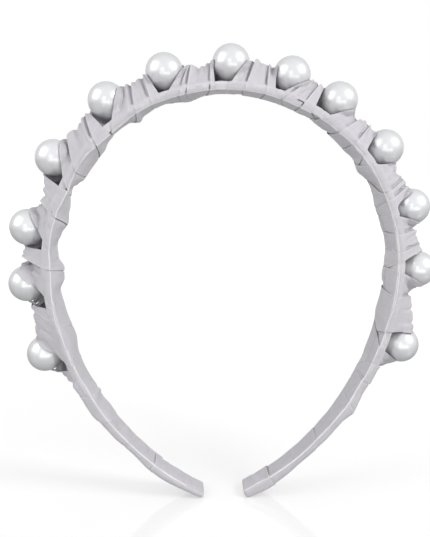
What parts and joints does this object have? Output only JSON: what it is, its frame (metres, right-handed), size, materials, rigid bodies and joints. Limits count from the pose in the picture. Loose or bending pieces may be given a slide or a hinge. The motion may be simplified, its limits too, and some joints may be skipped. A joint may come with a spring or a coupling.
{
  "type": "pearl headband",
  "caption": "Open C-shaped headband wound with pleated satin ribbon, with drilled faux pearls strung on a thread round the crown.",
  "frame": {"origin": "centre of the crown's inner arc, halfway across the band's width", "axes": "+Z to the top of the head, +X to the wearer's side, +Y across the band's width, away from the side where the turns start"},
  "size_m": [0.143, 0.0156, 0.1525],
  "materials": {
    "band_plastic": "plain moulded plastic strip, hidden by ribbon",
    "satin_ribbon": "silver-grey satin ribbon with a soft sheen",
    "stringing_thread": "off-white twisted stringing thread",
    "pearl_bead": "white pearlescent lacquer on a plastic bead"
  },
  "bodies": {
    "band": {"core_band": "band_plastic", "thread": "stringing_thread", "base_wrap": "satin_ribbon", "arm_wrap_left": "satin_ribbon", "arm_wrap_right": "satin_ribbon", "tip_fold_left": "satin_ribbon", "tip_fold_right": "satin_ribbon", "turns_00": "satin_ribbon", "turns_01": "satin_ribbon", "turns_02": "satin_ribbon", "turns_03": "satin_ribbon", "turns_04": "satin_ribbon", "turns_05": "satin_ribbon", "turns_06": "satin_ribbon", "turns_07": "satin_ribbon", "turns_08": "satin_ribbon", "turns_09": "satin_ribbon", "turns_10": "satin_ribbon", "turns_11": "satin_ribbon", "turns_12": "satin_ribbon", "turns_13": "satin_ribbon"},
    "pearl_01": {"pearl_01": "pearl_bead"},
    "pearl_02": {"pearl_02": "pearl_bead"},
    "pearl_03": {"pearl_03": "pearl_bead"},
    "pearl_04": {"pearl_04": "pearl_bead"},
    "pearl_05": {"pearl_05": "pearl_bead"},
    "pearl_06": {"pearl_06": "pearl_bead"},
    "pearl_07": {"pearl_07": "pearl_bead"},
    "pearl_08": {"pearl_08": "pearl_bead"},
    "pearl_09": {"pearl_09": "pearl_bead"},
    "pearl_10": {"pearl_10": "pearl_bead"},
    "pearl_11": {"pearl_11": "pearl_bead"},
    "pearl_12": {"pearl_12": "pearl_bead"},
    "pearl_13": {"pearl_13": "pearl_bead"}
  },
  "joints": [
    {"name": "pearl_01_spin", "type": "hinge", "parent": "band", "child": "pearl_01", "pos_m": [-0.06039, 0, -0.02944], "axis": [-0.3193, 0, 0.9477], "continuous": true},
    {"name": "pearl_02_spin", "type": "hinge", "parent": "band", "child": "pearl_02", "pos_m": [-0.06538, 0, -0.00538], "axis": [-0.0819, 0, 0.9966], "continuous": true},
    {"name": "pearl_03_spin", "type": "hinge", "parent": "band", "child": "pearl_03", "pos_m": [-0.06423, 0, 0.01333], "axis": [0.2031, 0, 0.9792], "continuous": true},
    {"name": "pearl_04_spin", "type": "hinge", "parent": "band", "child": "pearl_04", "pos_m": [-0.05505, 0, 0.03567], "axis": [0.5438, 0, 0.8392], "continuous": true},
    {"name": "pearl_05_spin", "type": "hinge", "parent": "band", "child": "pearl_05", "pos_m": [-0.03766, 0, 0.05371], "axis": [0.8188, 0, 0.5741], "continuous": true},
    {"name": "pearl_06_spin", "type": "hinge", "parent": "band", "child": "pearl_06", "pos_m": [-0.0192, 0, 0.06273], "axis": [0.9562, 0, 0.2927], "continuous": true},
    {"name": "pearl_07_spin", "type": "hinge", "parent": "band", "child": "pearl_07", "pos_m": [0.00206, 0, 0.06557], "axis": [0.9995, 0, -0.0314], "continuous": true},
    {"name": "pearl_08_spin", "type": "hinge", "parent": "band", "child": "pearl_08", "pos_m": [0.0217, 0, 0.06191], "axis": [0.9437, 0, -0.3308], "continuous": true},
    {"name": "pearl_09_spin", "type": "hinge", "parent": "band", "child": "pearl_09", "pos_m": [0.03719, 0, 0.05404], "axis": [0.8237, 0, -0.567], "continuous": true},
    {"name": "pearl_10_spin", "type": "hinge", "parent": "band", "child": "pearl_10", "pos_m": [0.05284, 0, 0.03887], "axis": [0.5926, 0, -0.8055], "continuous": true},
    {"name": "pearl_11_spin", "type": "hinge", "parent": "band", "child": "pearl_11", "pos_m": [0.06259, 0, 0.01964], "axis": [0.2994, 0, -0.9541], "continuous": true},
    {"name": "pearl_12_spin", "type": "hinge", "parent": "band", "child": "pearl_12", "pos_m": [0.06559, 0, -0.00137], "axis": [-0.0209, 0, -0.9998], "continuous": true},
    {"name": "pearl_13_spin", "type": "hinge", "parent": "band", "child": "pearl_13", "pos_m": [0.06094, 0, -0.02775], "axis": [-0.3027, 0, -0.9531], "continuous": true}
  ]
}
